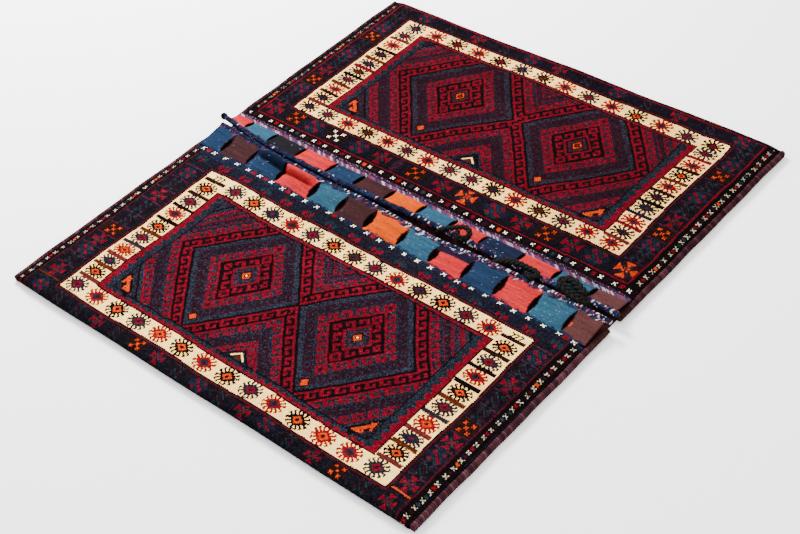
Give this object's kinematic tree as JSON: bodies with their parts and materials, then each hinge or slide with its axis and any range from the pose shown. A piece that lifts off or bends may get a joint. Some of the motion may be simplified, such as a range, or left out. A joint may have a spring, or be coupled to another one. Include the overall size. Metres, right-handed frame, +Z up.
{
  "type": "double saddle bag",
  "caption": "Woven double saddle bag lying flat and open: pile-faced pouches joined by a plain back, with slit bands, corded mouths and braided closing loops.",
  "frame": {"origin": "on the surface the bag rests on, at the middle of the bag", "axes": "+X along the two mouths, +Y from the near pouch to the far pouch, +Z up"},
  "size_m": [1.021, 1.114, 0.0478],
  "materials": {
    "plain_weave": "matte wool plain weave",
    "knotted_pile": "soft wool pile with a flat-woven slit band",
    "mouth_cord": "overcast wool cord",
    "side_wrap": "overcast wool edge",
    "goat_hair": "coarse braided goat hair"
  },
  "bodies": {
    "root": {"back_cloth": "plain_weave", "near_face": "knotted_pile", "far_face": "knotted_pile", "near_mouth_binding": "mouth_cord", "far_mouth_binding": "mouth_cord", "near_left_wrap": "side_wrap", "near_right_wrap": "side_wrap", "far_left_wrap": "side_wrap", "far_right_wrap": "side_wrap", "near_loop_01": "goat_hair", "near_loop_02": "goat_hair", "near_loop_03": "goat_hair", "near_loop_04": "goat_hair", "near_loop_05": "goat_hair", "near_loop_06": "goat_hair", "near_loop_07": "goat_hair", "near_loop_08": "goat_hair", "near_loop_09": "goat_hair", "near_loop_10": "goat_hair", "near_loop_11": "goat_hair", "near_loop_12": "goat_hair", "far_loop_01": "goat_hair", "far_loop_02": "goat_hair", "far_loop_03": "goat_hair", "far_loop_04": "goat_hair", "far_loop_05": "goat_hair", "far_loop_06": "goat_hair", "far_loop_07": "goat_hair", "far_loop_08": "goat_hair", "far_loop_09": "goat_hair", "far_loop_10": "goat_hair", "far_loop_11": "goat_hair", "far_loop_12": "goat_hair"}
  },
  "joints": []
}
